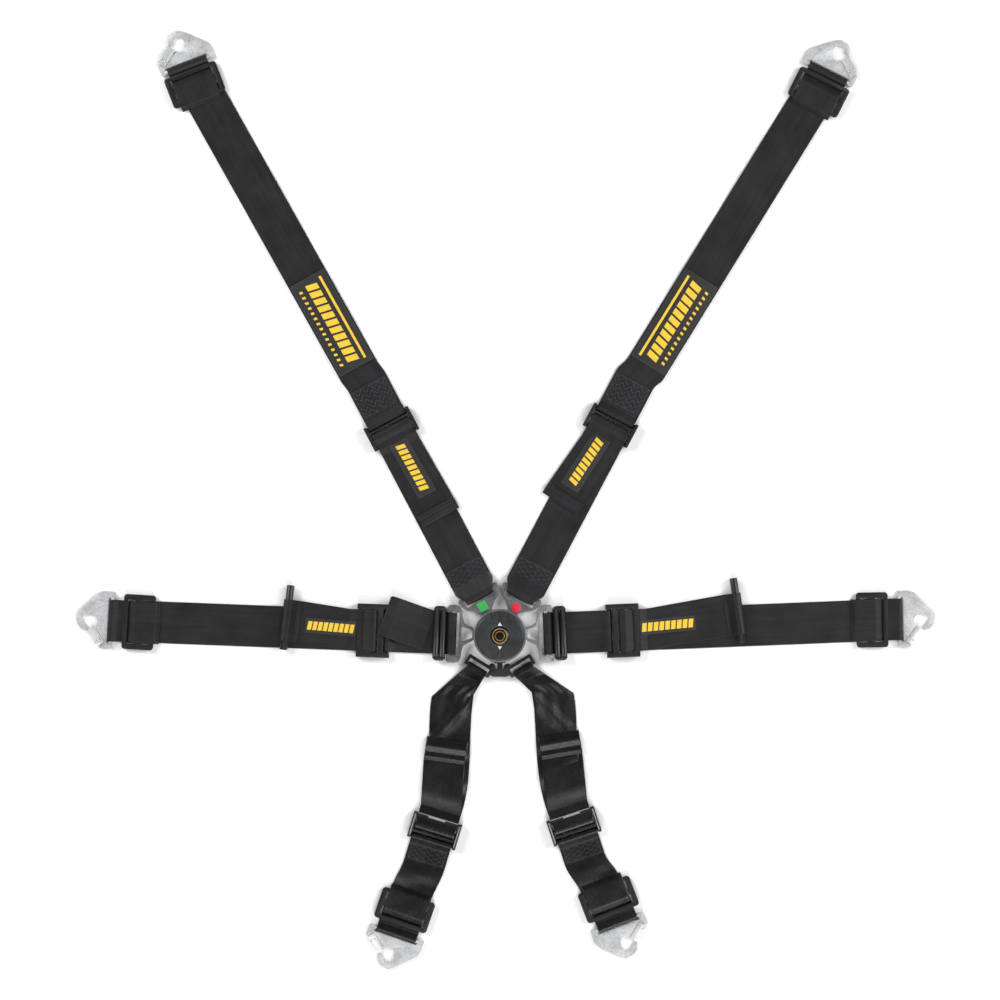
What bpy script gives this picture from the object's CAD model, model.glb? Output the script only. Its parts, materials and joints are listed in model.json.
"""Looks of the racing harness: webbing, stitching, labels, hardware finishes, floor, light and camera.

Local sizes are millimetres in each belt's own frame (u along the belt, v across it to the left, z up from the
floor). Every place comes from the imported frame's joints and node boxes. Blender objects are in metres.
"""
import json
import math

import bmesh
import bpy
import numpy as np
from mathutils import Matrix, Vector


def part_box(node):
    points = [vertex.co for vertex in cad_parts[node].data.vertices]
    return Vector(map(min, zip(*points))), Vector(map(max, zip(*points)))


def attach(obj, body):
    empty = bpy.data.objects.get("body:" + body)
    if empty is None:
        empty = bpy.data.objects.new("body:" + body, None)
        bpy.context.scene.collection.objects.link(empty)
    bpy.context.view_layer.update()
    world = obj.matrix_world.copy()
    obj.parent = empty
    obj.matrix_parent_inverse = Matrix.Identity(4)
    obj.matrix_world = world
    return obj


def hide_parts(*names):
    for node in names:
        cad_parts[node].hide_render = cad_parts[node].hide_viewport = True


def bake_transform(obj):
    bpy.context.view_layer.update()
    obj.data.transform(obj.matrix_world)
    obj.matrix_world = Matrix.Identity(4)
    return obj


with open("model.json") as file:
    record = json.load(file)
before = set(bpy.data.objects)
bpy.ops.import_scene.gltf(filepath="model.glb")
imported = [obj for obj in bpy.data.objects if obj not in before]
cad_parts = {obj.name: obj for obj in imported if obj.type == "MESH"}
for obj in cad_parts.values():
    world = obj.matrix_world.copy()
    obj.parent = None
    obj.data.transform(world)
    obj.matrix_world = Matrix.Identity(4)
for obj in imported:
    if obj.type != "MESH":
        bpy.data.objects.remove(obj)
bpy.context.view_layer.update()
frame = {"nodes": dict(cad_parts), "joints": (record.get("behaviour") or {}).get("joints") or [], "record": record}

MM = 0.001
NODES = frame["nodes"]
JOINTS = {joint["name"]: joint for joint in frame["joints"]}
BODY_OF = {node: body for body, nodes in frame["record"]["behaviour"]["bodies"].items() for node in nodes}
SIDES = ("left", "right")

# Sizes shared with the CAD source, in millimetres. A layer is the height of its webbing's middle line.
WEB_HALF = 25.0
WEB = 1.2
LAYER_GAP = 0.15
FLOOR_LAYER = WEB / 2
SECOND_LAYER = WEB + LAYER_GAP + WEB / 2
GAP = 0.3
BEND = 1.6
TONGUE_BAR_RADIUS, TONGUE_BAR_Z = 2.4, 6.4
GRIP_RADIUS, GRIP_Z = 2.8, 6.2
OVER_LIP = 7.2
LIP_LEAVES, LIP_LANDS = 1.0, 9.0
FIXED_BAR_RADIUS, FIXED_BAR_Z, FIXED_BAR_INSET = 2.2, 3.7, 3.5
HOOK_BAR_RADIUS, HOOK_BAR_Z = 2.0, 3.5
HOOK_TOP = 3.2
SLIDE_LENGTH, SLIDE_TOP = 38.0, 6.0
SLIDE_AT = {"shoulder": 26.0, "lap": 33.0, "leg": 31.0}
ADJUSTER_HALF = {"shoulder": 15.5, "lap": 20.0, "leg": 16.0}
SHOULDER_BAR_U = 53.8
LAP_BAR_U = 56.0
LAP_SLIDE_U = LAP_BAR_U + 16.4
LAP_ROD_RADIUS = 4.6
TONGUE_TOP = 7.6
KNOB_TOP = 29.4

# Sizes of the looks alone, in millimetres
STEP = 5.0  # between the stations of straight webbing
LYING = 1.0  # webbing whose middle line is below this lies on the floor
ON_SECOND = SECOND_LAYER + WEB / 2
SEAM_Z = ON_SECOND - 0.05
SEAM_HALF = 21.5
HEM_HALF = WEB_HALF - 2
BEFORE_TURN = 17  # a straight run ends this far before its turn under the end slide
FOLD_RADIUS = 0.64
RIVET_U, RIVET_V = 5.0, 2.3
RIB, RIB_COLUMN = 0.62, 0.95  # of the weave
LAP_TAG = {"left": (-51.5, -2.0, 2.0, 61.0), "right": (-54.5, 1.5, -3.0, 67.0)}  # u, v, degrees, length
LEG_RUN = {"left": 158.5, "right": 157.3}  # from the fan behind the tongue to the adjuster

# The floor, camera and world of the photo, in metres
FLOOR_HALF, FLOOR_Z = 8.0, -0.0004
CAMERA_AT = (0.0002, 0.1624, 6.0)
LENS_MM, SENSOR_MM, FAR_CLIP = 180, 36, 50
LIGHT_AIM = (0, 0.15, 0)
LIGHTS = (
    ("soft_left", (-2.7, 1.7, 2.1), (1.9, 1.9), 112),
    ("soft_right", (2.8, 0.9, 2.0), (1.6, 1.6), 84),
    ("soft_front", (0.2, -2.7, 2.0), (2.0, 1.2), 56),
    ("strip_front", (0.1, -2.1, 5.0), (2.4, 0.7), 34),
    ("strip_right", (2.3, 0.4, 5.0), (0.8, 2.0), 26),
)
WORLD_STRENGTH = 0.14


def up(z):
    return Vector((0, 0, z))


def clamped(t):
    return min(1.0, max(0.0, t))


def smooth(t):
    return t * t * (3 - 2 * t)


# ---- belt frames

class Belt:
    """A belt's own frame on the floor, with its origin in millimetres and its u at an angle in radians."""

    def __init__(self, x, y, angle):
        self.origin = Vector((x, y, 0))
        self.angle = angle
        self.u = Vector((math.cos(angle), math.sin(angle), 0))
        self.v = Vector((-math.sin(angle), math.cos(angle), 0))

    def at(self, u, v=0.0, z=0.0):
        return self.origin + self.u * u + self.v * v + up(z)

    def slid(self, u, v=0.0, turn=0.0):
        moved = self.at(u, v)
        return Belt(moved.x, moved.y, self.angle + math.radians(turn))


def middle(node):
    low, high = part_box(node)
    return (low + high) / 2 / MM


def hinge_belt(name):
    """The frame of a belt that starts at this hinge: u is square to the hinge's axis."""
    joint = JOINTS[name]
    x, y, _ = joint["pos_m"]
    along_x, along_y, _ = joint["axis"]
    return Belt(x / MM, y / MM, math.atan2(along_x, -along_y))


def slide_heading(name):
    """The direction in plan that this slide's positive travel points away from."""
    along_x, along_y, _ = JOINTS[name]["axis"]
    return math.atan2(-along_y, -along_x)


def plan_heading(node, away_from):
    """The short direction in plan of a flat symmetric node, pointing away from a place."""
    points = np.array([v.co[:2] for v in NODES[node].data.vertices])
    _, vectors = np.linalg.eigh(np.cov(points.T))
    short = Vector((vectors[0, 0], vectors[1, 0], 0))
    if short.dot(middle(node) - away_from) < 0:
        short = -short
    return math.atan2(short.y, short.x)


def namer(kind, side):
    """Makes the full names of one belt's joints, nodes, bodies and pieces."""
    return lambda part: f"{kind}_{part}_{side}"


def belt_at(place, angle):
    return Belt(place.x, place.y, angle)


def belt_towards(place, aim):
    reach = aim - place
    return belt_at(place, math.atan2(reach.y, reach.x))


def shoulder_frames(named):
    """Strap from the buckle, adjuster, tail, belt behind the adjuster, and hook end."""
    strap = Belt(0, 0, hinge_belt(named("strap_swing")).angle)
    place = middle(named("adjuster_bar"))
    end = hinge_belt(named("hook_swing"))
    tail = belt_at(place, slide_heading(named("tail_run")))
    return strap, belt_at(place, strap.angle), tail, belt_towards(place, end.origin), end


def lap_frames(named):
    """Strap from the buckle, adjuster facing back along it, tail and hook end."""
    strap = Belt(0, 0, hinge_belt(named("strap_swing")).angle)
    place = middle(named("adjuster_bar"))
    tail = belt_at(place, slide_heading(named("rod_run")))
    return strap, belt_at(place, strap.angle + math.pi), tail, hinge_belt(named("hook_swing"))


def leg_frames(named):
    """Tongue bar, adjuster slide, run from the buckle, tail, belt behind the slide, and hook end."""
    bar = hinge_belt(named("strap_swing"))
    place = middle(named("adjuster_slide"))
    end = hinge_belt(named("hook_swing"))
    slide = belt_at(place, plan_heading(named("adjuster_slide"), up(0)))
    run = belt_at(place, slide_heading(named("adjust")))
    tail = belt_at(place, slide_heading(named("tail_run")))
    return bar, slide, run, tail, belt_towards(place, end.origin), end


# ---- materials


class Shader:
    """A small helper that builds one node material around a Principled shader."""

    def __init__(self, name, slot=None):
        self.material = bpy.data.materials.new(name)
        self.material.use_nodes = True
        self.tree = self.material.node_tree
        self.shader = self.tree.nodes["Principled BSDF"]

    def node(self, kind, **values):
        made = self.tree.nodes.new(kind)
        for key, value in values.items():
            if hasattr(made, key):
                setattr(made, key, value)
            else:
                made.inputs[key.replace("_", " ")].default_value = value
        return made

    def link(self, out, into):
        self.tree.links.new(out, into)

    def math(self, operation, *inputs):
        made = self.tree.nodes.new("ShaderNodeMath")
        made.operation = operation
        for socket, value in zip(made.inputs, inputs):
            if isinstance(value, (int, float)):
                socket.default_value = value
            else:
                self.link(value, socket)
        return made.outputs[0]

    def ramp(self, factor, *stops):
        made = self.tree.nodes.new("ShaderNodeValToRGB")
        elements = made.color_ramp.elements
        while len(elements) < len(stops):
            elements.new(0.5)
        for element, (position, colour) in zip(elements, stops):
            element.position = position
            element.color = (*colour, 1)
        self.link(factor, made.inputs["Fac"])
        return made.outputs["Color"]

    def noise(self, vector, scale, detail=3.0, roughness=0.55):
        made = self.node("ShaderNodeTexNoise", Scale=scale, Detail=detail, Roughness=roughness)
        self.link(vector, made.inputs["Vector"])
        return made.outputs["Fac"]

    def bump(self, height, distance, strength=1.0, after=None):
        made = self.node("ShaderNodeBump", Distance=distance, Strength=strength)
        self.link(height, made.inputs["Height"])
        if after is not None:
            self.link(after, made.inputs["Normal"])
        return made.outputs["Normal"]

    def set(self, **values):
        for key, value in values.items():
            self.shader.inputs[key.replace("_", " ")].default_value = value

    def wire(self, **sockets):
        for key, out in sockets.items():
            self.link(out, self.shader.inputs[key.replace("_", " ")])


def object_space(shader):
    return shader.node("ShaderNodeTexCoord").outputs["Object"]


def woven(name, slot, dark, light, roughness, sheen, specular, relief):
    """Woven polyester: fine herringbone ribs, faint lengthwise streaks, cloudy wear. UV is u, v in metres."""
    s = Shader(name, slot)
    weave = s.node("ShaderNodeUVMap", uv_map="weave").outputs["UV"]
    parts = s.node("ShaderNodeSeparateXYZ")
    s.link(weave, parts.inputs[0])
    along, across = parts.outputs["X"], parts.outputs["Y"]
    column = s.math("PINGPONG", s.math("MULTIPLY", across, 1 / (RIB_COLUMN * MM)), 1.0)
    phase = s.math("ADD", s.math("MULTIPLY", along, 1 / (RIB * MM)), s.math("MULTIPLY", column, 1.1))
    twill = s.math("MULTIPLY_ADD", s.math("SINE", s.math("MULTIPLY", phase, 2 * math.pi)), 0.5, 0.5)
    off_centre = s.math("ABSOLUTE", s.math("SUBTRACT", s.math("MULTIPLY", column, 2.0), 1.0))
    valley = s.math("POWER", off_centre, 6.0)
    height = s.math("SUBTRACT", twill, s.math("MULTIPLY", valley, 0.6))
    stretched = s.node("ShaderNodeVectorMath", operation="MULTIPLY")
    s.link(weave, stretched.inputs[0])
    stretched.inputs[1].default_value = (10, 210, 1)
    lengthwise = s.noise(stretched.outputs[0], 1.0, 4)
    clouds = s.noise(weave, 30, 4, 0.62)
    fuzz = s.noise(weave, 2600, 2)
    tone = s.math("MULTIPLY_ADD", lengthwise, 0.5, s.math("MULTIPLY", clouds, 0.5))
    tone = s.math("MULTIPLY_ADD", twill, 0.14, s.math("MULTIPLY", tone, 0.93))
    colour = s.ramp(tone, (0.34, dark), (0.76, light))
    rough = s.math("MULTIPLY_ADD", clouds, 0.3, s.math("MULTIPLY_ADD", fuzz, 0.08, roughness - 0.19))
    fine = s.bump(height, relief, 0.45)
    s.wire(Base_Color=colour, Roughness=rough, Normal=s.bump(fuzz, relief / 2, 0.35, fine))
    s.set(Sheen_Weight=sheen, Sheen_Roughness=0.4, Specular_IOR_Level=specular)
    return s.material


def metal(name, slot, dark, light, roughness, grain, metallic=0.0, coat=0.0, dents=0.00005, specular=0.5):
    """Painted, zinc plated or bare metal with patchy roughness and a fine surface grain."""
    s = Shader(name, slot)
    space = object_space(s)
    patches = s.noise(space, 60, 4, 0.6)
    speckle = s.noise(space, grain, 3, 0.7)
    mix = s.math("MULTIPLY_ADD", speckle, 0.6, s.math("MULTIPLY", patches, 0.4))
    colour = s.ramp(mix, (0.32, dark), (0.7, light))
    rough = s.math("MULTIPLY_ADD", patches, 0.2, s.math("MULTIPLY_ADD", speckle, 0.12, roughness - 0.16))
    s.wire(Base_Color=colour, Roughness=rough, Normal=s.bump(speckle, dents, 0.6))
    s.set(Metallic=metallic, Coat_Weight=coat, Coat_Roughness=0.12, Specular_IOR_Level=specular)
    return s.material


def turned(name, slot, dark, light, roughness, metallic):
    """A disc faced on a lathe: fine rings about the buckle's axis."""
    s = Shader(name, slot)
    space = object_space(s)
    flat = s.node("ShaderNodeVectorMath", operation="MULTIPLY")
    s.link(space, flat.inputs[0])
    flat.inputs[1].default_value = (1, 1, 0)
    radius = s.node("ShaderNodeVectorMath", operation="LENGTH")
    s.link(flat.outputs[0], radius.inputs[0])
    rings = s.node("ShaderNodeTexNoise", noise_dimensions="1D", Scale=900.0, Detail=2.0)
    s.link(radius.outputs["Value"], rings.inputs["W"])
    patches = s.noise(space, 90, 4)
    colour = s.ramp(patches, (0.3, dark), (0.75, light))
    patchy = s.math("MULTIPLY_ADD", patches, 0.12, roughness - 0.13)
    rough = s.math("MULTIPLY_ADD", rings.outputs["Fac"], 0.15, patchy)
    s.wire(Base_Color=colour, Roughness=rough, Normal=s.bump(rings.outputs["Fac"], 0.00003, 0.5))
    s.set(Metallic=metallic)
    return s.material


def thread(name, slot, dark, light, roughness, sheen=0.2):
    """Twisted or embroidered thread: a fine diagonal ply with uneven dye."""
    s = Shader(name, slot)
    space = object_space(s)
    ply = s.node("ShaderNodeTexWave", wave_type="BANDS", bands_direction="DIAGONAL", Scale=420.0,
                 Distortion=1.5, Detail=2.0)
    s.link(space, ply.inputs["Vector"])
    uneven = s.noise(space, 240, 3)
    mix = s.math("MULTIPLY_ADD", ply.outputs["Fac"], 0.4, s.math("MULTIPLY", uneven, 0.6))
    colour = s.ramp(mix, (0.2, dark), (0.8, light))
    rough = s.math("MULTIPLY_ADD", uneven, 0.2, roughness - 0.1)
    s.wire(Base_Color=colour, Roughness=rough, Normal=s.bump(ply.outputs["Fac"], 0.00012, 0.7))
    s.set(Sheen_Weight=sheen, Sheen_Roughness=0.5)
    return s.material


WEB_BLACK = woven("webbing_black", "webbing", (0.005, 0.005, 0.006), (0.020, 0.020, 0.022),
                  roughness=0.44, sheen=0.02, specular=0.26, relief=0.00004)
WEB_LEG = woven("webbing_leg_black", "webbing", (0.0015, 0.0015, 0.002), (0.006, 0.006, 0.007),
                roughness=0.27, sheen=0.0, specular=0.5, relief=0.000015)
LABEL_BLACK = thread("label_black", "webbing", (0.003, 0.003, 0.004), (0.012, 0.012, 0.013), 0.62, 0.1)
LABEL_YELLOW = thread("label_yellow", "webbing", (0.62, 0.38, 0.012), (0.93, 0.62, 0.04), 0.55, 0.1)
THREAD_DARK = thread("thread_dark", "webbing", (0.022, 0.022, 0.024), (0.07, 0.07, 0.074), 0.5)
BLACK_STEEL = metal("black_steel", "black_steel", (0.003, 0.003, 0.004), (0.012, 0.012, 0.014),
                    0.36, 900, specular=0.34)
SLIDE_BLACK = metal("slide_black", "black_steel", (0.004, 0.004, 0.005), (0.016, 0.016, 0.018),
                    0.42, 1400, specular=0.32)
GLOSS_BLACK = metal("gloss_black", "gloss_black", (0.002, 0.002, 0.003), (0.007, 0.007, 0.008),
                    0.4, 700, coat=0.05)
WORN_EDGE = metal("worn_edge", "black_steel", (0.16, 0.16, 0.165), (0.34, 0.34, 0.35), 0.4, 1400)
ROD_BLACK = metal("rod_black", "rod_plastic", (0.006, 0.006, 0.007), (0.018, 0.018, 0.02),
                  0.34, 1100, specular=0.36)
TONGUE_GREY = metal("tongue_grey", "tongue_steel", (0.085, 0.087, 0.09), (0.20, 0.205, 0.21),
                    0.42, 1200, metallic=0.55)
TONGUE_BRIGHT = metal("tongue_bright", "tongue_steel", (0.17, 0.173, 0.178), (0.42, 0.425, 0.43),
                      0.36, 1200, metallic=0.6)
HOOK_ZINC = metal("hook_zinc", "hook_zinc", (0.30, 0.31, 0.32), (0.66, 0.67, 0.68),
                  0.46, 420, metallic=0.35, dents=0.00018)
KEEPER_ZINC = metal("keeper_zinc", "spring_steel", (0.46, 0.47, 0.48), (0.80, 0.81, 0.82),
                    0.36, 700, metallic=0.4, dents=0.0001)
BRIGHT_STEEL = metal("bright_steel", "bright_steel", (0.42, 0.42, 0.43), (0.7, 0.7, 0.71),
                     0.28, 1500, metallic=0.95)
HOUSING_GREY = metal("housing_grey", "housing_metal", (0.10, 0.105, 0.11), (0.24, 0.245, 0.25),
                     0.42, 1300, metallic=0.6)
KNOB_DARK = turned("knob_dark", "knob_metal", (0.011, 0.012, 0.013), (0.026, 0.028, 0.03), 0.42, 0.1)
BADGE_BLACK = turned("badge_black", "knob_metal", (0.002, 0.002, 0.002), (0.008, 0.008, 0.008), 0.2, 0.0)
BADGE_GOLD = turned("badge_gold", "knob_metal", (0.42, 0.24, 0.04), (0.75, 0.50, 0.14), 0.3, 0.7)
MARK_WHITE = turned("mark_white", "knob_metal", (0.5, 0.52, 0.54), (0.8, 0.82, 0.84), 0.4, 0.0)
MARK_GREEN = thread("mark_green", "tongue_steel", (0.02, 0.30, 0.05), (0.05, 0.52, 0.10), 0.45)
MARK_RED = thread("mark_red", "tongue_steel", (0.50, 0.006, 0.03), (0.78, 0.02, 0.07), 0.4)


# ---- mesh helpers

def add_object(name, data):
    made = bpy.data.objects.new(name, data)
    bpy.context.scene.collection.objects.link(made)
    return made


def add_piece(name, mesh, material, sharp):
    """Puts a mesh in the scene with its material and slot, smooth up to an angle in degrees."""
    mesh.shade_smooth()
    mesh.set_sharp_from_angle(angle=math.radians(sharp))
    mesh.materials.append(material)
    made = add_object(name, mesh)
    return made


def tube_faces(rings, sides, base=0):
    """Quads between rings of points that follow one another."""
    return [(base + i * sides + k, base + i * sides + (k + 1) % sides,
             base + (i + 1) * sides + (k + 1) % sides, base + (i + 1) * sides + k)
            for i in range(rings - 1) for k in range(sides)]


def circle(radius, count, shift=0.0, centre=(0.0, 0.0)):
    """Points in u, v round a circle, turned on by a part of one step."""
    turns = [2 * math.pi * (k + shift) / count for k in range(count)]
    return [(centre[0] + radius * math.cos(turn), centre[1] + radius * math.sin(turn)) for turn in turns]


def make_object(name, points, faces, material, uvs=None, sharp=40.0):
    """A smooth-shaded object from points in millimetres; uvs holds one pair in metres for each point."""
    mesh = bpy.data.meshes.new(name)
    mesh.from_pydata([tuple(p * MM) for p in points], [], faces)
    if uvs is not None:
        layer = mesh.uv_layers.new(name="weave")
        for loop in mesh.loops:
            layer.data[loop.index].uv = uvs[loop.vertex_index]
    mesh.validate()
    return add_piece(name, mesh, material, sharp)


def rounded(points, radii, per_bend=8):
    """Points along a line in u, z whose corners are arcs, with the straight parts cut into short steps."""
    points = [Vector(p) for p in points]
    corners = [points[0]]
    for before, corner, after, radius in zip(points, points[1:], points[2:], radii):
        back, on = (before - corner).normalized(), (after - corner).normalized()
        half = back.angle(on) / 2
        nearly_straight = half > math.radians(89)
        if nearly_straight:
            corners.append(corner)
            continue
        reach = radius / math.tan(half)
        centre = corner + (back + on).normalized() * (radius / math.sin(half))
        first, last = corner + back * reach - centre, corner + on * reach - centre
        sweep = math.atan2(first.x * last.y - first.y * last.x, first.dot(last))
        for i in range(per_bend + 1):
            turn = sweep * i / per_bend
            corners.append(centre + Vector((first.x * math.cos(turn) - first.y * math.sin(turn),
                                            first.x * math.sin(turn) + first.y * math.cos(turn))))
    corners.append(points[-1])
    line = [corners[0]]
    for start, stop in zip(corners, corners[1:]):
        pieces = max(1, round((stop - start).length / STEP))
        line += [start.lerp(stop, i / pieces) for i in range(1, pieces + 1)]
    return line


def route(belt, points, radii, half=WEB_HALF):
    """Stations of webbing in one belt frame: centre, across direction and half width."""
    return [(belt.at(p.x, 0, p.y), belt.v.copy(), half) for p in rounded(points, radii)]


def joined(*parts):
    """Joins stretches of webbing by smooth curves in plan, so that it can change direction on the floor."""
    stations = list(parts[0])
    for part in parts[1:]:
        if stations[-1][1].dot(part[0][1]) < 0:
            part = [(centre, -across, half) for centre, across, half in part]
        (p0, a0, w0), (p1, a1, w1) = stations[-1], part[0]
        gap = (p1 - p0).length
        if gap > 0.5:
            heading = Vector((p1.x - p0.x, p1.y - p0.y, 0))
            t0, t1 = a0.cross(up(1)), a1.cross(up(1))
            t0, t1 = (t if t.dot(heading) > 0 else -t for t in (t0, t1))
            count = max(2, round(gap / STEP))
            for i in range(1, count):
                t = i / count
                blend = smooth(t)
                place = (p0 * (2 * t ** 3 - 3 * t ** 2 + 1) + t0 * gap * (t ** 3 - 2 * t ** 2 + t)
                         + p1 * (3 * t ** 2 - 2 * t ** 3) + t1 * gap * (t ** 3 - t ** 2))
                stations.append((place, a0.lerp(a1, blend).normalized(), w0 + (w1 - w0) * blend))
        elif gap < 0.01:
            part = part[1:]
        stations += part
    return stations


def drawn_tight(wrap, tail, to):
    """A run of webbing pulled straight from the end of an adjuster's wrap to a place along its tail."""
    p0, a0, half = wrap[-1]
    p1, a1 = tail.at(to, 0, SECOND_LAYER), tail.v
    if a0.dot(a1) < 0:
        a1 = -a1
    count = max(2, round((p1 - p0).length / STEP))
    return [(p0.lerp(p1, k / count), a0.lerp(a1, k / count).normalized(), half) for k in range(count + 1)]


# The section of webbing, in half widths and half thicknesses: a thin selvedge with a cord beside it
EDGE = [(1.0, 0.35), (0.99, 0.85), (0.965, 1.06), (0.93, 0.98), (0.8, 0.96), (0.6, 1.0), (0.4, 1.0),
        (0.2, 1.0)]
ACROSS = EDGE + [(0.0, 1.0)] + [(-v, t) for v, t in reversed(EDGE)]
RING = ACROSS + [(v, -t) for v, t in reversed(ACROSS)]


def webbing(name, node, stations, material=WEB_BLACK, shape=None, body=None):
    """Sweeps the section of woven webbing along stations, to stand for a CAD node.

    shape(s, v, total, centre) gives the shift of a point that is s along the webbing, out of its total length,
    and v across it, at the station with this centre.
    """
    centres = [station[0] for station in stations]
    lengths = [0.0]
    for a, b in zip(centres, centres[1:]):
        lengths.append(lengths[-1] + (b - a).length)
    points, uvs = [], []
    for i, (centre, across, half) in enumerate(stations):
        ahead = centres[min(i + 1, len(centres) - 1)] - centres[max(i - 1, 0)]
        normal = ahead.normalized().cross(across).normalized()
        for v, t in RING:
            point = centre + across * (v * half) + normal * (t * WEB / 2)
            if shape:
                point = point + shape(lengths[i], v * half, lengths[-1], centre)
            points.append(point)
            uvs.append((lengths[i] * MM, v * half * MM))
    ring = len(RING)
    faces = tube_faces(len(stations), ring)
    columns = len(ACROSS)
    for base, order in ((0, 1), ((len(stations) - 1) * ring, -1)):
        for k in range(columns - 1):
            faces.append((base + k, base + ring - 1 - k, base + ring - 2 - k, base + k + 1)[::-order])
    made = make_object(name, points, faces, material, uvs, 60)
    fix_normals(made)
    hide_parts(node)
    if body:
        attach(made, body)
    return made


def fix_normals(made):
    work = bmesh.new()
    work.from_mesh(made.data)
    bmesh.ops.recalc_face_normals(work, faces=work.faces)
    work.to_mesh(made.data)
    work.free()


def slab(name, belt, outline, bottom, top, material, edge, body=None):
    """A flat plate from an outline in u, v, with a small rounded edge."""
    work = bmesh.new()
    ring = [work.verts.new(belt.at(u, v, bottom) * MM) for u, v in outline]
    face = work.faces.new(ring)
    solid = bmesh.ops.extrude_face_region(work, geom=[face])
    for item in solid["geom"]:
        if isinstance(item, bmesh.types.BMVert):
            item.co.z += (top - bottom) * MM
    bmesh.ops.recalc_face_normals(work, faces=work.faces)
    bmesh.ops.bevel(work, geom=list(work.edges), offset=edge * MM, segments=2, profile=0.6, affect="EDGES")
    mesh = bpy.data.meshes.new(name)
    work.to_mesh(mesh)
    work.free()
    made = add_piece(name, mesh, material, 50)
    if body:
        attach(made, body)
    return made


def merge(name, pieces):
    """Joins several new pieces into one object."""
    for other in bpy.context.selected_objects:
        other.select_set(False)
    for piece in pieces:
        piece.select_set(True)
    bpy.context.view_layer.objects.active = pieces[0]
    bpy.ops.object.join()
    pieces[0].name = name
    pieces[0].data.name = name
    return pieces[0]


# One stitch from end to end: place along it in lengths, lift in radii, and thickness as a part of the radius
STITCH = ((-0.5, -0.9, 0.5), (-0.36, -0.1, 1.0), (0.0, 0.25, 1.05), (0.36, -0.1, 1.0), (0.5, -0.9, 0.5))


def stitches(name, belt, lines, z, pitch=3.4, length=2.7, radius=0.26):
    """Lock stitches along lines in u, v: short round threads that dip into the webbing at their ends."""
    points, faces = [], []
    sides = 6
    for line in lines:
        for start, stop in zip(line, line[1:]):
            a, b = belt.at(*start, z), belt.at(*stop, z)
            run = b - a
            count = max(1, round(run.length / pitch))
            along = run.normalized()
            side = along.cross(up(1))
            for i in range(count):
                centre = a + run * ((i + 0.5) / count)
                base = len(points)
                for along_by, lift, fat in STITCH:
                    ring_centre = centre + along * (along_by * length) + up(lift * radius)
                    for k in range(sides):
                        turn = 2 * math.pi * k / sides
                        points.append(ring_centre + side * (math.cos(turn) * radius * fat)
                                      + up(math.sin(turn) * radius * fat))
                faces += tube_faces(len(STITCH), sides, base)
                faces.append(tuple(base + k for k in reversed(range(sides))))
                faces.append(tuple(base + (len(STITCH) - 1) * sides + k for k in range(sides)))
    made = make_object(name, points, faces, THREAD_DARK)
    fix_normals(made)
    return made


def zigzag_seam(name, belt, low, high, rows, body):
    """A load-bearing harness seam on the second layer: rows of zigzag across the belt inside a sewn frame."""
    half, teeth = SEAM_HALF, 8
    lines = [[(low, -half), (low, half), (high, half), (high, -half), (low, -half)]]
    for row in range(rows):
        start = low + (high - low) * row / rows
        stop = low + (high - low) * (row + 1) / rows
        lines.append([((start if k % 2 else stop), -half + 2 * half * k / teeth) for k in range(teeth + 1)])
    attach(stitches(name, belt, lines, SEAM_Z), body)


def rivet(leaf, v):
    """The low round head of one of the two rivets in a hook's keeper."""
    base, radius, height = HOOK_TOP + 1.25, 1.5, 0.7
    points = []
    sides, rings = 20, 5
    for ring in range(rings):
        climb = ring / (rings - 1) * math.pi / 2
        reach = radius * math.cos(climb * 0.94)
        top = base + height * math.sin(climb)
        points += [leaf.at(*place, top) for place in circle(reach, sides, 0, (RIVET_U, v))]
    faces = tube_faces(rings, sides)
    faces.append(tuple((rings - 1) * sides + k for k in range(sides)))
    faces.append(tuple(reversed(range(sides))))
    return make_object("rivet", points, faces, BRIGHT_STEEL)


def ring(name, belt, radius, thick, z, material):
    """A thin round ring lying flat."""
    points, faces = [], []
    around, sides = 72, 8
    for i in range(around):
        turn = 2 * math.pi * i / around
        for k in range(sides):
            roll = 2 * math.pi * k / sides
            reach = radius + thick * math.cos(roll)
            points.append(belt.at(reach * math.cos(turn), reach * math.sin(turn),
                                  z + thick * 0.6 * math.sin(roll)))
    for i in range(around):
        for k in range(sides):
            faces.append((i * sides + k, ((i + 1) % around) * sides + k,
                          ((i + 1) % around) * sides + (k + 1) % sides, i * sides + (k + 1) % sides))
    return make_object(name, points, faces, material)


def refined(node, material, bevel, name):
    """A copy of a CAD node with its sharp edges rounded, which stands for the node."""
    same_place, flat, bevelled, sharp = 0.000002, math.radians(1.5), math.radians(38), math.radians(32)
    work = bmesh.new()
    work.from_mesh(NODES[node].data)
    bmesh.ops.remove_doubles(work, verts=work.verts, dist=same_place)
    bmesh.ops.dissolve_limit(work, angle_limit=flat, verts=work.verts, edges=work.edges)
    mesh = bpy.data.meshes.new(name)
    work.to_mesh(mesh)
    work.free()
    mesh.materials.append(material)
    made = add_object(name, mesh)
    rounding = made.modifiers.new("rounding", "BEVEL")
    rounding.width = bevel * MM
    rounding.segments = 2
    rounding.limit_method = "ANGLE"
    rounding.angle_limit = bevelled
    bpy.context.view_layer.update()
    final = bpy.data.meshes.new_from_object(made.evaluated_get(bpy.context.evaluated_depsgraph_get()))
    made.modifiers.clear()
    made.data = final
    final.shade_smooth()
    final.set_sharp_from_angle(angle=sharp)
    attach(made, BODY_OF[node])
    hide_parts(node)
    return made


def repaint(node, material):
    NODES[node].data.materials.clear()
    NODES[node].data.materials.append(material)


def turn_round(u, z, radius, side):
    """Two corners of webbing that climbs round a bar on its +u or -u side, and the radius of both."""
    reach = radius + GAP + WEB / 2
    return [(u + side * reach, z - reach), (u + side * reach, z + reach)], reach - 0.05


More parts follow.
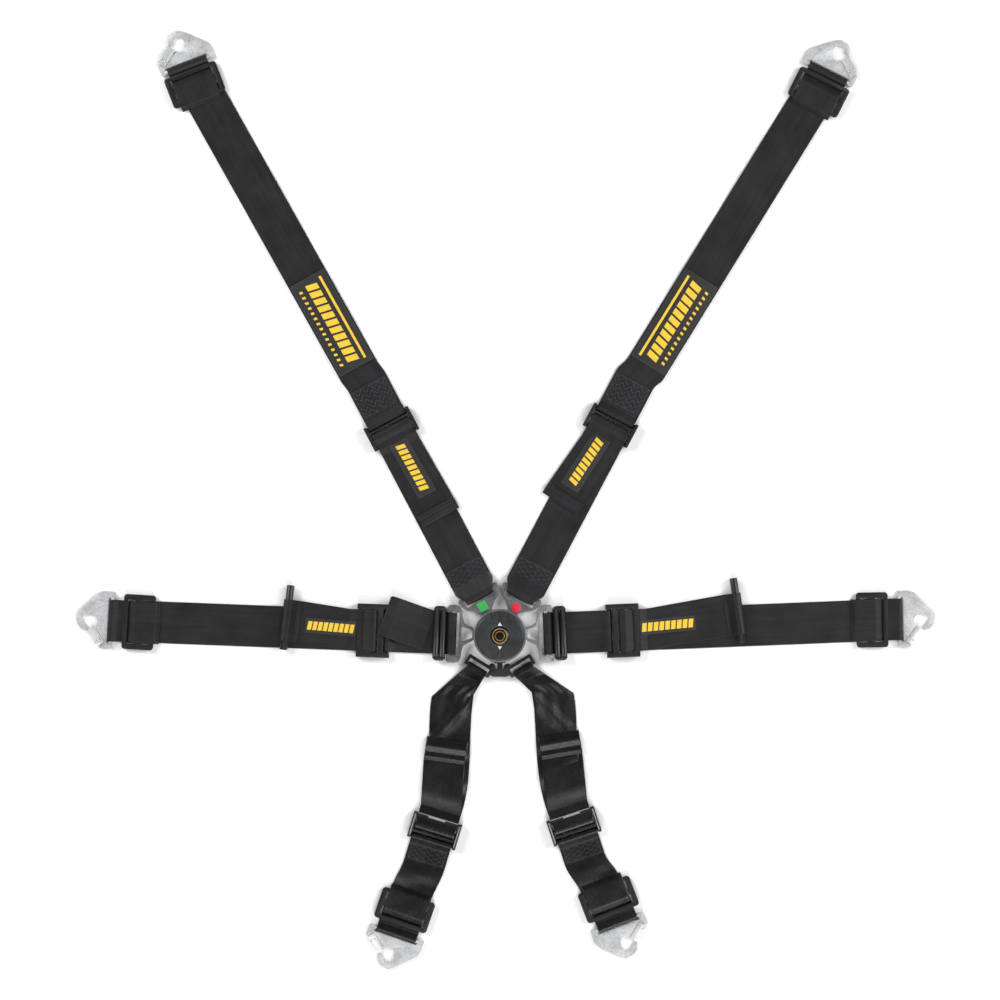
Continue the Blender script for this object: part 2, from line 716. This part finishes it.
def worn_corner(from_end):
    """How much each edge of a strip draws in near its end, so that its corners are round."""
    radius = 3.5
    short = radius - from_end
    return 0.0 if short <= 0 else radius - math.sqrt(max(0.0, radius ** 2 - short ** 2))


def wave(amplitude, length, phase, skew=0.0, keep=12.0):
    """Lifts a lying run of webbing in long soft waves that fade out at both of its ends."""
    fading = 40

    def lift(s, v, total, centre):
        if centre.z > LYING:
            return up(0)
        fade = min(clamped((s - keep) / fading), clamped((total - s - keep) / fading))
        swell = 0.5 + 0.5 * math.sin(2 * math.pi * (s + skew * v) / length + phase)
        ripple = 0.5 + 0.5 * math.sin(2 * math.pi * (s - 0.6 * skew * v) / (0.43 * length) + 2.1 * phase)
        return up(amplitude * fade * (0.7 * swell + 0.3 * ripple))

    return lift


# ---- webbing routes shared by the belts

def tongue_loop(strap, bar_u, sewn_end, drop, run_out):
    """Stations from the cut end on top, back round the tongue's bar, to the floor and outwards."""
    turn, bend = turn_round(bar_u, TONGUE_BAR_Z, TONGUE_BAR_RADIUS, -1)
    points = [(sewn_end, SECOND_LAYER), (bar_u + drop, SECOND_LAYER), (bar_u + 4, turn[1][1]), turn[1],
              turn[0], (bar_u + 4, turn[0][1]), (bar_u + drop - 1, FLOOR_LAYER), (run_out, FLOOR_LAYER)]
    return route(strap, points, [BEND, BEND, bend, bend, BEND, BEND])


def grip_wrap(adjuster, half_length):
    """Stations in along the floor, under the front lip, round the grip bar and back over the lip."""
    turn, bend = turn_round(0, GRIP_Z, GRIP_RADIUS, 1)
    far = -half_length - 16
    points = [(far, FLOOR_LAYER), (-8, FLOOR_LAYER), (-3.5, turn[0][1]), *turn, (-3.5, turn[1][1]),
              (-0.6 * half_length, OVER_LIP), (-half_length - LIP_LEAVES, OVER_LIP),
              (-half_length - LIP_LANDS, SECOND_LAYER), (far, SECOND_LAYER)]
    past_landing = 3
    return route(adjuster, points, [BEND, BEND, bend, bend, BEND, BEND, BEND, BEND])[:-past_landing]


def fixed_bar_loop(adjuster, half_length, sewn):
    """Stations from the cut end on top, back round the adjuster's fixed bar, to the floor and outwards."""
    bar_u = half_length - FIXED_BAR_INSET
    turn, bend = turn_round(bar_u, FIXED_BAR_Z, FIXED_BAR_RADIUS, -1)
    points = [(bar_u + sewn, SECOND_LAYER), (bar_u + 9, SECOND_LAYER), (bar_u + 2, turn[1][1]), turn[1],
              turn[0], (bar_u + sewn, FLOOR_LAYER)]
    return route(adjuster, points, [BEND, BEND, bend, bend])


def hidden_turn(kind):
    """How far before its hook's bar, under the end slide, a belt turns into the direction of its hook."""
    return SLIDE_AT[kind] + 3.0


def hook_loop(end, kind):
    """Stations out along the floor, round the hook's bar, under the slide's first bar and over the others."""
    turn, bend = turn_round(0, HOOK_BAR_Z, HOOK_BAR_RADIUS, 1)
    near = -SLIDE_AT[kind] + SLIDE_LENGTH / 2
    under, over = SECOND_LAYER + 0.05, SLIDE_TOP + GAP + WEB / 2
    points = [(-hidden_turn(kind), FLOOR_LAYER), *turn, (-1.5, turn[1][1]), (-7.2, under),
              (near - 6, under), (near - 14, over), (near - SLIDE_LENGTH - 1, over),
              (near - SLIDE_LENGTH - 6, SECOND_LAYER)]
    return route(end, points, [bend, bend, BEND, BEND, BEND, BEND, BEND])


def hem_line(u):
    return [(u, -HEM_HALF), (u, HEM_HALF)]


def tail_fold(name, tail, near, far, body, node, material=WEB_BLACK):
    """The free end, folded over twice and sewn down between two humps."""
    layers = [SECOND_LAYER, SECOND_LAYER + 1.3, SECOND_LAYER + 2.6]
    front, back = -near - 1.2, -far + 0.7
    length = far - near - 2.8
    valley = front - 0.38 * length
    points = [(-near, layers[0]), (back, layers[0]), (back, layers[1]), (front, layers[1]),
              (front, layers[2]), (front - 0.17 * length, layers[2] + 1.0), (valley, layers[2]),
              (front - 0.68 * length, layers[2] + 1.5), (-far + 1.6, layers[2] - 0.4)]
    webbing(name, node, route(tail, points, 4 * [FOLD_RADIUS] + [6.0, 3.0, 14.0]), material, body=body)
    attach(stitches(name + "_stitching", tail, [hem_line(valley)], layers[2] + WEB / 2 + 0.05), body)


def box_outline(u_from, u_to, half, centre=0.0):
    return [(u_from, centre - half), (u_to, centre - half), (u_to, centre + half), (u_from, centre + half)]


def slanted_blocks(u_from, u_to, half, count, fill=0.72, slant=2.2, centre=0.0):
    """A row of equal slanted bars, a plain racing pattern. fill is the part of a step that a bar covers."""
    pitch = (u_to - u_from) / count
    rows = []
    for k in range(count):
        low = u_from + pitch * k + pitch * (1 - fill) / 2
        high = low + pitch * fill
        rows.append([(low, centre - half), (high, centre - half), (high + slant, centre + half),
                     (low + slant, centre + half)])
    return rows


def label(name, belt, patch, rows, base, body=None):
    """A black patch (u from, u to, half width, centre) sewn round its edge, with embroidered yellow bars."""
    u_from, u_to, half, centre = patch
    hem = 1.2
    outline = box_outline(u_from, u_to, half, centre)
    cloth = slab(name + "_patch", belt, outline, base, base + 0.7, LABEL_BLACK, 0.25)
    bars = merge(name + "_bars", [
        slab(f"{name}_bar_{k}", belt, row, base + 0.5, base + 0.95, LABEL_YELLOW, 0.12)
        for k, row in enumerate(rows)])
    edge = box_outline(u_from + hem, u_to - hem, half - hem, centre)
    sewing = stitches(name + "_edge", belt, [edge + edge[:1]], base + 0.65, 2.6, 2.1, 0.2)
    pieces = [cloth, bars, sewing]
    if body:
        for piece in pieces:
            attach(piece, body)
    return pieces


def laid_over_lip(pieces, belt, half_length):
    """Bends flat pieces down from an adjuster's front lip, cut finely enough to follow the webbing below."""
    step = 3.0
    high, low = -half_length - LIP_LEAVES, -half_length - LIP_LANDS
    for piece in pieces:
        work = bmesh.new()
        work.from_mesh(piece.data)
        ends = [(v.co / MM - belt.origin).dot(belt.u) for v in work.verts]
        cut = min(ends) + step
        while cut < max(ends):
            bmesh.ops.bisect_plane(work, geom=[*work.verts, *work.edges, *work.faces], dist=1e-7,
                                   plane_co=belt.at(cut) * MM, plane_no=belt.u)
            cut += step
        for v in work.verts:
            u = (v.co / MM - belt.origin).dot(belt.u)
            above = (OVER_LIP - SECOND_LAYER) * (1 - clamped((high - u) / (high - low)))
            v.co.z += (above + 0.35 * math.exp(-((u - low) / 1.5) ** 2)) * MM
        work.to_mesh(piece.data)
        work.free()


def blend_all(pieces, a, b, start, end):
    for piece in pieces:
        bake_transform(piece)


def hardware(named, *rows):
    """Rounds CAD nodes of one belt: each row holds a node, its material, its bevel and its piece's name."""
    for node, material, bevel, piece in rows:
        refined(named(node), material, bevel, named(piece))


# ---- the three kinds of belt

def make_belt_end(named):
    hardware(named, ("end_slide", SLIDE_BLACK, 0.9, "slide"), ("hook", HOOK_ZINC, 0.35, "snap_hook"),
             ("keeper", KEEPER_ZINC, 0.2, "spring_keeper"))
    leaf = hinge_belt(named("keeper_flex"))
    rivets = [rivet(leaf, v) for v in (-RIVET_V, RIVET_V)]
    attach(merge(named("keeper_rivets"), rivets), BODY_OF[named("keeper")])


def make_shoulder(side):
    named = namer("shoulder", side)
    strap, adjuster, tail, belt, end = shoulder_frames(named)
    sign = 1 if side == "left" else -1
    half_length = ADJUSTER_HALF["shoulder"]
    adjuster_at = adjuster.origin.length
    belt_length = (end.origin - belt.origin).length
    roll_middle = (middle(named("tail_roll")) - tail.origin).dot(tail.u)
    near, far = -roll_middle - 7, -roll_middle + 7

    gathered_half, opens_at, opening = 17.7, 53, 14
    crumple_from, crumple_to = 56, 80

    def gathered(stations):
        """Draws the webbing together at the tongue's bar and lets it open to its full width."""
        placed = []
        for centre, across, half in stations:
            t = clamped(((centre - strap.origin).dot(strap.u) - opens_at) / opening)
            placed.append((centre, across, gathered_half + (half - gathered_half) * smooth(t)))
        return placed

    ripple = wave(0.7, 120, 0.6 if side == "left" else 1.9, 0.8)

    def strap_shape(s, v, total, centre):
        u = (centre - strap.origin).dot(strap.u)
        near_bar = max(0.0, 1 - max(0.0, u - 52) / 10)
        pulled = up(0)
        if abs(v) < gathered_half + 0.1:
            pulled = strap.u * (-1.3 * (1 - (v / gathered_half) ** 2) * near_bar)
        crumple = 0.0
        if centre.z > LYING and crumple_from < u < crumple_to:
            fade = min(1.0, (u - crumple_from) / 6, (crumple_to - u) / 8)
            crumple = 0.35 * math.sin(v * 0.55 + u * 0.12 + sign) * fade
        return pulled + up(max(-0.1, crumple)) + ripple(s, v, total, centre)

    sewn_end, drop = 98.0, 21
    first = gathered(tongue_loop(strap, SHOULDER_BAR_U, sewn_end, drop, adjuster_at - half_length - 30))
    wrap = grip_wrap(adjuster, half_length)
    lower = webbing(named("strap_webbing"), named("strap"), joined(first, wrap), shape=strap_shape)
    blend_all([lower], named("strap"), named("grip"), strap.at(118), strap.at(adjuster_at - half_length - 12))

    strip = webbing(named("tail_webbing"), named("strap"), drawn_tight(wrap, tail, -near + 0.1))
    tag_centre = 0.8
    tag = label(named("tag"), tail, (-90.0, -17.5, 12.0, tag_centre),
                slanted_blocks(-85, -22, 5.6, 9, centre=tag_centre), ON_SECOND)
    laid_over_lip(tag, tail, half_length)
    blend_all([strip, *tag], named("grip"), named("tail"), tail.at(-half_length - LIP_LANDS), tail.at(-near))
    tail_fold(named("tail_fold"), tail, near, far, named("tail"), named("tail_roll"))
    zigzag_seam(named("tongue_seam"), strap, 70, 95, 4, named("strap"))

    start = fixed_bar_loop(adjuster, half_length, 50.0)
    run_end = belt_length - hidden_turn("shoulder") - BEFORE_TURN
    run = route(belt, [(80, FLOOR_LAYER), (run_end, FLOOR_LAYER)], [])
    loop = hook_loop(end, "shoulder")
    webbing(named("belt_webbing"), named("belt"), joined(start, run, loop),
            shape=wave(1.5, 150, 0.4 if side == "left" else 2.4, 1.3, 75), body=named("belt"))
    zigzag_seam(named("adjuster_seam"), adjuster, 26, 59, 5, named("belt"))
    rows = [box_outline(90, 202, 1.5, -14.5 * sign)]
    rows += slanted_blocks(91, 198, 7.2, 11, 0.74, 3.0, -0.5 * sign)
    rows += slanted_blocks(92, 198, 2.0, 15, 0.42, 0.8, 14.8 * sign)
    over_waves = FLOOR_LAYER + WEB / 2 + 1.45
    label(named("patch"), belt, (84.0, 208.0, 23.4, 0.0), rows, over_waves, named("belt"))
    make_belt_end(named)
    hardware(named, ("tongue", TONGUE_GREY, 0.45, "tongue_plate"),
             ("adjuster_frame", SLIDE_BLACK, 0.6, "adjuster_body"),
             ("adjuster_bar", BLACK_STEEL, 0.3, "grip_bar"))
    if side == "left":
        slab("release_mark_green", strap, box_outline(34.6, 46.2, 5.6, 2.0), TONGUE_TOP, TONGUE_TOP + 0.5,
             MARK_GREEN, 0.2, named("tongue"))
    else:
        slab("release_mark_red", strap, circle(6.2, 8, 0.5, (38.4, -2)), TONGUE_TOP, TONGUE_TOP + 0.5,
             MARK_RED, 0.15, named("tongue"))


def make_lap(side):
    named = namer("lap", side)
    strap, adjuster, tail, end = lap_frames(named)
    half_length = ADJUSTER_HALF["lap"]
    adjuster_at = adjuster.origin.length
    hook_at = end.origin.length
    rod_at = -(middle(named("pull_rod")) - tail.origin).dot(tail.u)

    first = tongue_loop(strap, LAP_BAR_U, LAP_SLIDE_U - 0.3, 10, adjuster_at - half_length - 40)
    back = fixed_bar_loop(adjuster, half_length, adjuster_at - 16.5 - LAP_SLIDE_U)[::-1]
    webbing(named("inner_webbing"), named("inner_strap"), joined(first, back),
            shape=wave(0.3, 60, 1.0, 0.5), body=named("strap"))
    if side == "left":
        make_spare_fold(strap, named("strap"))

    outer = hook_loop(end, "lap")[::-1]
    run = route(strap, [(hook_at - hidden_turn("lap") - BEFORE_TURN, FLOOR_LAYER),
                        (adjuster_at + half_length + 60, FLOOR_LAYER)], [])
    wrap = grip_wrap(adjuster, half_length)
    lower = webbing(named("belt_webbing"), named("belt"), joined(outer, run, wrap))
    blend_all([lower], named("grip"), named("belt"), strap.at(adjuster_at + half_length + 12),
              strap.at(hook_at - SLIDE_AT["lap"] - SLIDE_LENGTH / 2 - 12))

    rod_z = SECOND_LAYER + LAP_ROD_RADIUS + GAP + WEB / 2
    turn, bend = turn_round(-rod_at, rod_z, LAP_ROD_RADIUS, -1)
    third = SECOND_LAYER + WEB + 0.1
    loop_end = -rod_at + 12
    loop = route(tail, [(loop_end, SECOND_LAYER), *turn, (-rod_at + 3, turn[1][1]), (-rod_at + 10.5, third),
                        (-rod_at + 15.5, third)], [bend, bend, BEND, BEND])
    webbing(named("rod_webbing"), named("belt"), loop, body=named("rod"))
    strip = webbing(named("tail_webbing"), named("belt"), drawn_tight(wrap, tail, loop_end))
    *tag_place, tag_length = LAP_TAG[side]
    reach = tag_length / 2
    tag = label(named("tag"), tail.slid(*tag_place), (-reach, reach, 9.0, 0.0),
                slanted_blocks(-reach + 1.5, reach - 2.5, 5.2, 9, fill=0.78, slant=1.6), ON_SECOND)
    laid_over_lip(tag, tail, half_length)
    blend_all([strip, *tag], named("grip"), named("rod"), tail.at(-half_length - LIP_LANDS),
              tail.at(-rod_at + 16))
    seam = stitches(named("rod_seam"), tail, [hem_line(-rod_at + 13.6)], third + WEB / 2 - 0.1)
    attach(seam, named("rod"))
    make_belt_end(named)

    plating = TONGUE_GREY if side == "left" else TONGUE_BRIGHT
    hardware(named, ("tongue", plating, 0.45, "tongue_plate"),
             ("adjuster_frame", SLIDE_BLACK, 0.6, "adjuster_body"),
             ("adjuster_bar", BLACK_STEEL, 0.3, "grip_bar"))
    round_ends(refined(named("bar_slide"), GLOSS_BLACK, 0.5, named("double_bar")), strap)
    hardware(named, ("pull_rod", ROD_BLACK, 0.7, "rod"))


def make_spare_fold(strap, body):
    """The spare webbing folded up beside the left lap tongue, with round corners at its fold."""
    fold = strap.slid(LAP_BAR_U + 34.8, -4, -17.7)
    points = [(-6, 3.3), (9, 3.5), (39, 10.9), (50.2, 11.2), (50.2, 8.9), (37, 8.4), (24, 5.2)]
    stations = [(centre, across, WEB_HALF - worn_corner(50.8 - (centre - fold.origin).dot(fold.u)))
                for centre, across, _ in route(fold, points, [BEND, BEND, 1.1, 1.1, BEND])]

    def humped(s, v, total, centre):
        return up(0.8 * math.sin(math.pi * min(1, s / 60)) * (1 - (v / WEB_HALF) ** 2))

    webbing("lap_spare_fold_left", "lap_inner_strap_left", stations, shape=humped, body=body)


def round_ends(double_bar, strap):
    """Draws both ends of a lap strap's double bar slide in to round ends."""
    straight_half, end_length, flattest = 27.0, 6.6, 0.2
    for vertex in double_bar.data.vertices:
        local = vertex.co / MM - strap.origin
        beyond = (abs(local.dot(strap.v)) - straight_half) / end_length
        if beyond > 0:
            outwards = local.dot(strap.u) - LAP_SLIDE_U
            vertex.co -= strap.u * outwards * (1 - math.sqrt(max(flattest, 1 - beyond ** 2))) * MM


def make_leg(side):
    named = namer("leg", side)
    bar, slide, run, tail, belt, end = leg_frames(named)
    half_length = ADJUSTER_HALF["leg"]
    belt_length = (end.origin - slide.origin).length
    roll_middle = (middle(named("tail_roll")) - tail.origin).dot(tail.u)
    near, far = -roll_middle - 14.5, -roll_middle + 14.5
    sign = 1 if side == "right" else -1
    run_length, turn_length = LEG_RUN[side], 9.0

    fan_from, fan_length, gathered_half = 3.0, 46.0, 12.5
    near_edges = [bar.at(fan_from, v) for v in (-gathered_half, gathered_half)]
    far_edges = [run.at(-run_length - (turn_length if v * sign < 0 else 0), v) for v in (-WEB_HALF, WEB_HALF)]

    def between(low, high, z):
        return (low + high) / 2 + up(z), (high - low).normalized(), (high - low).length / 2

    def fanned(stations):
        """Spreads the gathered webbing from the tongue's bar to its full width, with straight edges."""
        placed = []
        for centre, across, _ in stations:
            t = ((centre - bar.origin).dot(bar.u) - fan_from) / fan_length
            if t <= 0:
                placed.append((centre, across, gathered_half))
            else:
                placed.append(between(*(a.lerp(b, t) for a, b in zip(near_edges, far_edges)), centre.z))
        return placed

    top = fanned(tongue_loop(bar, 0, 30, 16, fan_from + fan_length))
    begin = run.at(10 - run_length)
    down = Belt(begin.x, begin.y, math.radians(270 + sign * 5.0))
    down_edges = [down.at(0, v) for v in (-WEB_HALF, WEB_HALF)]
    squaring = [between(*(a.lerp(b, k / 4) for a, b in zip(far_edges, down_edges)), FLOOR_LAYER)
                for k in (1, 2, 3)]
    squaring.append((down.at(0, 0, FLOOR_LAYER), down.v.copy(), WEB_HALF))
    wrap = grip_wrap(slide, half_length)

    def crumpled(s, v, total, centre):
        if centre.z > LYING:
            return up(0)
        from_bar = (centre - bar.origin).length
        along = (centre - run.origin).dot(run.u) + run_length
        pleats = max(0.0, 1 - max(0.0, from_bar - 22) / 60)
        ridge = 1.9 * pleats * (0.5 + 0.5 * math.cos(v * 0.34 + sign * 0.8))
        crease = 2.6 * math.exp(-((along - 26 + sign * -1.2 * v) / 8) ** 2)
        swell = 2.3 * (0.5 + 0.5 * math.sin(along / 6.4 + 0.035 * v + sign)) * clamped((along - 42) / 20)
        fade = min(clamped((from_bar - 14) / 14), clamped((run_length - along - half_length - 22) / 18))
        return up(fade * (ridge + crease + swell))

    lower = webbing(named("strap_webbing"), named("strap"), joined(top, squaring, wrap), WEB_LEG, crumpled)
    blend_all([lower], named("strap"), named("slide"), run.at(-run_length + 16), run.at(-half_length - 14))

    def bowed(s, v, total, centre):
        part = math.pi * s / total
        return up(1.6 * math.sin(part) ** 2 + 0.5 * math.sin(2 * part) ** 2)

    tight = drawn_tight(wrap, tail, -near + 0.1)
    strip = webbing(named("tail_webbing"), named("strap"), tight, WEB_LEG, bowed)
    blend_all([strip], named("slide"), named("tail"), tail.at(-half_length - LIP_LANDS), tail.at(-near))
    tail_fold(named("tail_fold"), tail, near, far, named("tail"), named("tail_roll"), WEB_LEG)

    start = fixed_bar_loop(slide, half_length, 30.0)
    flat_end = belt_length - hidden_turn("leg") - BEFORE_TURN
    flat = route(belt, [(flat_end - 3, FLOOR_LAYER), (flat_end, FLOOR_LAYER)], [])
    loop = hook_loop(end, "leg")
    webbing(named("belt_webbing"), named("belt"), joined(start, flat, loop), WEB_LEG,
            wave(1.2, 38, 0.5, 0.4, 50), named("slide"))
    zigzag_seam(named("adjuster_seam"), slide, 23, 40, 3, named("slide"))
    make_belt_end(named)
    hardware(named, ("adjuster_slide", SLIDE_BLACK, 0.6, "adjuster_body"))
    cheek, lip, tab = (-13.2, 13.2, 0.65), (-15.7, -14.9, 25.0), (-15.6, -12.9, 10.5)
    worn = [slab("worn", slide, box_outline(*size, centre), bottom, top, WORN_EDGE, 0.1)
            for size, centre, bottom, top in ((cheek, -27.6, 9.4, 9.68), (cheek, 27.6, 9.4, 9.68),
                                              (lip, 0.0, 9.3, 9.58), (tab, 1.5 * sign, 9.3, 9.62))]
    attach(merge(named("worn_edges"), worn), named("slide"))


def make_buckle():
    centre, badge_z = Belt(0, 0, 0), KNOB_TOP - 0.25
    refined("release_knob", KNOB_DARK, 0.25, "buckle_knob")
    refined("buckle_housing", HOUSING_GREY, 0.3, "buckle_case")
    refined("buckle_base_plate", HOUSING_GREY, 0.3, "buckle_back")
    refined("leg_tongue", BLACK_STEEL, 0.5, "leg_tongue_plate")
    for node in ("cam_spindle", "lift_plate", "latch_pins"):
        repaint(node, BRIGHT_STEEL)
    coils = add_object("latch_coils", NODES["latch_springs"].data.copy())
    coils.data.materials.clear()
    coils.data.materials.append(BRIGHT_STEEL)
    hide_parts("latch_springs")
    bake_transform(coils)
    slab("badge_disc", centre, circle(11.2, 64), KNOB_TOP - 0.8, KNOB_TOP - 0.3, BADGE_BLACK, 0.2, "knob")
    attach(ring("badge_ring", centre, 8.6, 0.55, badge_z, BADGE_GOLD), "knob")
    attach(ring("badge_inner_ring", centre, 5.4, 0.35, badge_z, BADGE_GOLD), "knob")
    for place, turn in (("upper", 90), ("lower", 270)):
        pointer = Belt(0, 0, math.radians(turn))
        slab(f"turn_mark_{place}", pointer, [(12.2, -2.6), (16.4, 0), (12.2, 2.6)],
             KNOB_TOP - 0.05, KNOB_TOP + 0.2, MARK_WHITE, 0.08, "knob")


make_buckle()
for each in SIDES:
    make_shoulder(each)
    make_lap(each)
    make_leg(each)


# ---- floor, light and camera

def make_floor():
    s = Shader("floor_white")
    grain = s.noise(object_space(s), 8, 2)
    s.wire(Base_Color=s.ramp(grain, (0.3, (0.88, 0.88, 0.88)), (0.7, (0.90, 0.90, 0.90))))
    s.set(Roughness=0.9, Specular_IOR_Level=0.1)
    mesh = bpy.data.meshes.new("floor")
    corners = [(x * FLOOR_HALF, y * FLOOR_HALF, FLOOR_Z) for x, y in ((-1, -1), (1, -1), (1, 1), (-1, 1))]
    mesh.from_pydata(corners, [], [(0, 1, 2, 3)])
    mesh.materials.append(s.material)
    floor = add_object("floor", mesh)


def area_light(name, place, size, power):
    data = bpy.data.lights.new(name, "AREA")
    data.shape = "RECTANGLE"
    data.size, data.size_y = size
    data.energy = power
    light = add_object(name, data)
    light.location = place
    light.rotation_euler = (Vector(LIGHT_AIM) - Vector(place)).to_track_quat("-Z", "Y").to_euler()


def make_camera():
    """Straight above the harness and looking down, as in the photo."""
    data = bpy.data.cameras.new("camera")
    data.lens, data.sensor_width, data.clip_end = LENS_MM, SENSOR_MM, FAR_CLIP
    camera = add_object("camera", data)
    camera.location = CAMERA_AT
    bpy.context.scene.camera = camera


def make_world():
    world = bpy.data.worlds.new("studio")
    bpy.context.scene.world = world
    world.use_nodes = True
    background = world.node_tree.nodes["Background"]
    background.inputs["Color"].default_value = (1, 1, 1, 1)
    background.inputs["Strength"].default_value = WORLD_STRENGTH
    bpy.context.scene.view_settings.view_transform = "Standard"


make_floor()
for lamp in LIGHTS:
    area_light(*lamp)
make_camera()
make_world()
